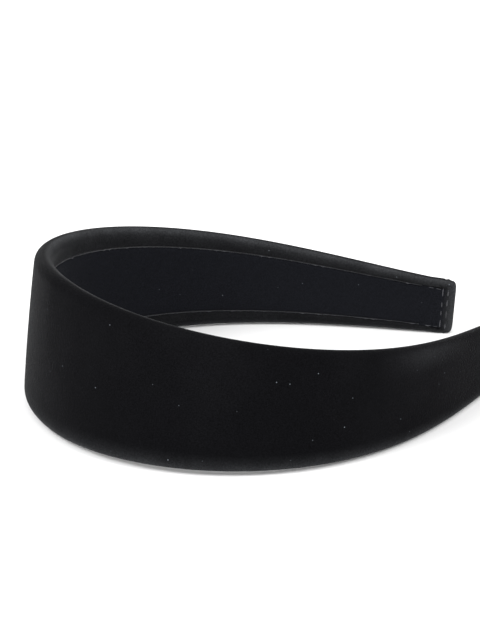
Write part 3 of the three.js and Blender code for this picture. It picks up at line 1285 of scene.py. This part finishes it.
class HEADBAND_OT_stitches(bpy.types.Operator):
    """Make the rows of lockstitches through each hem"""

    bl_idname = "headband.stitches"
    bl_label = "Hem Stitches"

    AROUND = 8
    STEPS_PER_STITCH = 10
    # How far stitches differ: in length as a share of one, and sideways
    UNEVEN = 0.35
    DRIFT = 0.3 * MM
    # The middle of the thread between two stitches, in its own radii above the cloth
    SUNK = -2.2

    def execute(self, context):
        band = band_of(context)
        sizes = band.sizes
        rows = {"front": sizes.front_row, "end": sizes.end_row}
        for arm, side in (("left", 1), ("right", -1)):
            for row, back in rows.items():
                for thread, face in (("needle", 1), ("bobbin", -1)):
                    name = f"{arm}_{row}_row_{thread}_thread"
                    bm = self.row(band, side, back, face)
                    title = f"{arm}_{row}_{thread}_stitches"
                    piece = finished(title, bm, spun_thread(), name)
                    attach(piece, BODY)
        return {"FINISHED"}

    def row(self, band, side, back, face):
        """A thread that rises over each stitch and sinks into the cloth between two of them."""
        sizes = band.sizes
        s = side * (band.arm - back)
        at = band.at(s)
        half = at["flat"]
        stitches = max(1, round(2 * half / sizes.stitch))
        surface = at["radius"] + hem_lift(sizes, back) + (PILE_LIFT if face > 0 else 0.0)

        def place(t, u):
            along = (u + 1) / 2 * stitches
            along += self.UNEVEN * noise.noise(Vector((along * 0.9, back * 700, face * 3)))
            number, phase = divmod(min(max(along, 0.0), stitches - 1e-4), 1.0)
            slack = noise.noise(Vector((number * 2.3, back * 900, face)))
            rise = math.sin(math.pi * phase) ** 0.8
            radius = sizes.thread / 2
            turn = 2 * math.pi * t
            middle = surface + radius * mix(self.SUNK, 0.7 + 1.2 * slack, rise)
            height = middle + radius * math.sin(turn)
            drift = self.DRIFT * (phase - 0.5) * slack
            return band.place(s + drift + radius * math.cos(turn), u * half, face * height)

        return wrapped_grid(self.AROUND, stitches * self.STEPS_PER_STITCH, place, closed=True)


# ------------------------------------------------------------------ stage


class HEADBAND_OT_stage(bpy.types.Operator):
    """Make the floor, the lights and the camera"""

    bl_idname = "headband.stage"
    bl_label = "Stage"

    # The point that the camera and the lights look at
    AIM = Vector((-7.4, 3.4, 22.7)) * MM
    FLOOR_SIZE = 3.0
    # The pile reaches below the frame's lowest point, and the floor presses it flat
    FLOOR_DROP = 0.45 * MM
    LIGHT_DISTANCE = 1.2
    LIGHT_SIZE = 0.7
    # Each light's turn from the camera's direction in degrees, and its part of the power
    LIGHTS = (("left light", -65, 0.6), ("right light", 65, 0.4))

    def execute(self, context):
        stage = context.scene.headband_stage
        self.floor()
        self.lights(context.scene, stage)
        self.camera(context.scene, stage)
        context.scene.view_settings.view_transform = "Standard"
        return {"FINISHED"}

    def floor(self):
        bm = bmesh.new()
        bmesh.ops.create_grid(bm, x_segments=8, y_segments=8, size=self.FLOOR_SIZE)
        bmesh.ops.translate(bm, verts=bm.verts, vec=(0, 0, -self.FLOOR_DROP))
        mesh = bpy.data.meshes.new("floor")
        bm.to_mesh(mesh)
        bm.free()
        mesh.materials.append(matt_floor())
        floor = bpy.data.objects.new("floor", mesh)
        bpy.context.scene.collection.objects.link(floor)
        floor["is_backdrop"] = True

    def lights(self, scene, stage):
        world = bpy.data.worlds.new("White tent")
        scene.world = world
        world.use_nodes = True
        sky = world.node_tree.nodes["Background"]
        sky.inputs["Color"].default_value = (1, 1, 1, 1)
        sky.inputs["Strength"].default_value = stage.sky
        for name, turn, part in self.LIGHTS:
            away = self.heading(stage.azimuth + math.radians(turn), stage.light_height)
            data = bpy.data.lights.new(name, "AREA")
            data.shape = "SQUARE"
            data.size = self.LIGHT_SIZE
            data.energy = stage.key * part
            light = bpy.data.objects.new(name, data)
            light.location = self.AIM + away * self.LIGHT_DISTANCE
            light.rotation_mode = "QUATERNION"
            light.rotation_quaternion = (-away).to_track_quat("-Z", "Y")
            scene.collection.objects.link(light)

    def heading(self, azimuth, height):
        """The direction from the band to something at an azimuth and a height above the horizon."""
        level = math.cos(height)
        return Vector((math.sin(azimuth) * level, -math.cos(azimuth) * level, math.sin(height)))

    def camera(self, scene, stage):
        data = bpy.data.cameras.new("camera")
        data.lens = stage.lens
        data.clip_end = 20
        camera = bpy.data.objects.new("camera", data)
        back = self.heading(stage.azimuth, stage.elevation)
        roll = Quaternion((0, 0, 1), stage.roll)
        camera.location = self.AIM + back * stage.distance
        camera.rotation_mode = "QUATERNION"
        camera.rotation_quaternion = (-back).to_track_quat("-Z", "Y") @ roll
        scene.collection.objects.link(camera)
        scene.camera = camera


# ------------------------------------------------------------------ panel and registration

PIECES = (
    HEADBAND_OT_core,
    HEADBAND_OT_tapes,
    HEADBAND_OT_pad,
    HEADBAND_OT_cover,
    HEADBAND_OT_lining,
    HEADBAND_OT_seams,
    HEADBAND_OT_hems,
    HEADBAND_OT_stitches,
    HEADBAND_OT_stage,
)
GROUPS = {
    "headband_sizes": HeadbandSizes,
    "headband_colours": HeadbandColours,
    "headband_stage": HeadbandStage,
}


class HEADBAND_PT_panel(bpy.types.Panel):
    """Lists the headband's pieces"""

    bl_idname = "HEADBAND_PT_panel"
    bl_label = "Velvet Headband"
    bl_space_type = "VIEW_3D"
    bl_region_type = "UI"
    bl_category = "Headband"

    def draw(self, context):
        for operator in PIECES:
            self.layout.operator(operator.bl_idname)
        for group in GROUPS:
            box = self.layout.box()
            settings = getattr(context.scene, group)
            for name in settings.bl_rna.properties.keys():
                if name not in ("rna_type", "name"):
                    box.prop(settings, name)


def register():
    for group in GROUPS.values():
        bpy.utils.register_class(group)
    for operator in PIECES:
        bpy.utils.register_class(operator)
    bpy.utils.register_class(HEADBAND_PT_panel)
    for name, group in GROUPS.items():
        setattr(bpy.types.Scene, name, bpy.props.PointerProperty(type=group))


def unregister():
    for name in GROUPS:
        delattr(bpy.types.Scene, name)
    bpy.utils.unregister_class(HEADBAND_PT_panel)
    for operator in reversed(PIECES):
        bpy.utils.unregister_class(operator)
    for group in GROUPS.values():
        bpy.utils.unregister_class(group)


def main():
    register()
    bpy.ops.headband.core()
    bpy.ops.headband.tapes()
    bpy.ops.headband.pad()
    bpy.ops.headband.cover()
    bpy.ops.headband.lining()
    bpy.ops.headband.seams()
    bpy.ops.headband.hems()
    bpy.ops.headband.stitches()
    bpy.ops.headband.stage()
    boxes = {"cad": CAD_BOX, "visual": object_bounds()}
    sizes = {name: [list(corner) for corner in box] for name, box in boxes.items()}


if __name__ == "__main__":
    main()
